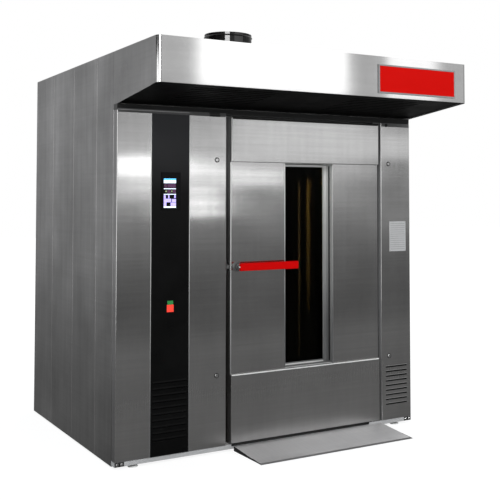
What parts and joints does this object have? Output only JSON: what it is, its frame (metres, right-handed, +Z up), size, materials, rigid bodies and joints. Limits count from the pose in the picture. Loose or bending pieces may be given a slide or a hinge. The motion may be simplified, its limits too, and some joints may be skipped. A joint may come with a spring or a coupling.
{
  "type": "rotating rack oven",
  "caption": "Free-standing rack oven: insulated steel cabinet, glazed hinged door, service column, front steam hood with flue collar, and a turntable driven from the roof.",
  "frame": {"origin": "middle of the object's box, on the floor", "axes": "+Z up, +X to the right seen from the front, +Y to the back"},
  "size_m": [2.03, 2.2232, 2.377],
  "materials": {
    "steel": "brushed",
    "pale_steel": "satin",
    "hood_black": "matt",
    "black_panel": "gloss",
    "glass": "polished",
    "handle_red": "satin",
    "badge_red": "satin",
    "seal": "matt",
    "insulation": "fibrous",
    "cast": "cast",
    "motor_blue": "satin",
    "element": "oxidised",
    "screen": "gloss",
    "lamp_glass": "frosted",
    "switchgear": "matt",
    "door_lining": "lined"
  },
  "bodies": {
    "cabinet": {"left_cladding_1": "steel", "left_cladding_2": "steel", "left_cladding_3": "steel", "left_cladding_4": "steel", "right_cladding_1": "steel", "right_cladding_2": "steel", "right_cladding_3": "steel", "right_cladding_4": "steel", "rear_cladding": "steel", "front_frame": "steel", "right_column": "steel", "hood_shell": "steel", "chamber_floor": "steel", "chamber_liner": "steel", "supply_duct": "steel", "base_frame": "pale_steel", "ramp": "pale_steel", "roof_deck": "pale_steel", "top_rail": "pale_steel", "hinge_bracket_bottom": "pale_steel", "hinge_bracket_top": "pale_steel", "latch_keeper": "pale_steel", "levelling_foot_1": "pale_steel", "levelling_foot_2": "pale_steel", "levelling_foot_3": "pale_steel", "levelling_foot_4": "pale_steel", "hood_underside": "hood_black", "flue_spigot": "hood_black", "badge_plate": "badge_red", "insulation_jacket": "insulation", "steam_generator": "cast", "gearmotor": "motor_blue", "fan_motor": "motor_blue", "heater_bank": "element", "chamber_lamp": "lamp_glass", "electrical_plate": "switchgear"},
    "door": {"door_skin": "steel", "door_core": "door_lining", "window_reveal": "pale_steel", "outer_glass": "glass", "inner_glass": "glass", "door_gasket": "seal", "handle_escutcheon": "pale_steel"},
    "handle": {"handle_lever": "pale_steel", "handle_grip": "handle_red"},
    "latch": {"latch_bolt": "pale_steel"},
    "service_door": {"service_door": "steel", "black_panel": "black_panel", "display_bezel": "black_panel", "display_screen": "screen"},
    "service_lock_upper": {"service_lock_upper": "pale_steel"},
    "service_lock_lower": {"service_lock_lower": "pale_steel"},
    "column_lock_upper": {"column_lock_upper": "pale_steel"},
    "column_lock_lower": {"column_lock_lower": "pale_steel"},
    "carousel": {"turntable": "steel", "carousel_yoke": "steel", "drive_gear": "cast"},
    "pinion": {"drive_pinion": "cast"},
    "circulation_wheel": {"circulation_fan": "steel"},
    "extractor_wheel": {"hood_fan": "cast"}
  },
  "joints": [
    {"name": "door_hinge", "type": "hinge", "parent": "cabinet", "child": "door", "pos_m": [0.744, -0.51035, 1.004], "axis": [0, 0, 1], "range_deg": [0, 120]},
    {"name": "handle_turn", "type": "hinge", "parent": "door", "child": "handle", "pos_m": [-0.265, -0.57035, 1.074], "axis": [0, 1, 0], "range_deg": [0, 90]},
    {"name": "latch_slide", "type": "slide", "parent": "door", "child": "latch", "axis": [1, 0, 0], "range_m": [0, 0.02]},
    {"name": "service_door_hinge", "type": "hinge", "parent": "cabinet", "child": "service_door", "pos_m": [-0.997, -0.51035, 1.004], "axis": [0, 0, -1], "range_deg": [0, 110]},
    {"name": "service_lock_upper_turn", "type": "hinge", "parent": "service_door", "child": "service_lock_upper", "pos_m": [-0.405, -0.50835, 1.703], "axis": [0, 1, 0], "range_deg": [0, 90]},
    {"name": "service_lock_lower_turn", "type": "hinge", "parent": "service_door", "child": "service_lock_lower", "pos_m": [-0.405, -0.50835, 0.45], "axis": [0, 1, 0], "range_deg": [0, 90]},
    {"name": "column_lock_upper_turn", "type": "hinge", "parent": "cabinet", "child": "column_lock_upper", "pos_m": [0.84, -0.50835, 1.703], "axis": [0, 1, 0], "range_deg": [0, 90]},
    {"name": "column_lock_lower_turn", "type": "hinge", "parent": "cabinet", "child": "column_lock_lower", "pos_m": [0.84, -0.50835, 0.45], "axis": [0, 1, 0], "range_deg": [0, 90]},
    {"name": "carousel_turn", "type": "hinge", "parent": "cabinet", "child": "carousel", "pos_m": [0.226, 0.22735, 1.1], "axis": [0, 0, 1], "continuous": true},
    {"name": "pinion_turn", "type": "hinge", "parent": "cabinet", "child": "pinion", "pos_m": [0.418, 0.22735, 2.198], "axis": [0, 0, 1], "continuous": true},
    {"name": "circulation_turn", "type": "hinge", "parent": "cabinet", "child": "circulation_wheel", "pos_m": [-0.63835, 0.38435, 1.9], "axis": [0, 0, 1], "continuous": true},
    {"name": "extractor_turn", "type": "hinge", "parent": "cabinet", "child": "extractor_wheel", "pos_m": [-0.5, -0.85835, 2.24], "axis": [0, 0, 1], "continuous": true}
  ],
  "couplings": [
    {"joint": "pinion_turn", "follows": "carousel_turn", "ratio": -3},
    {"joint": "latch_slide", "follows": "handle_turn", "m_per_rad": 0.0127}
  ]
}
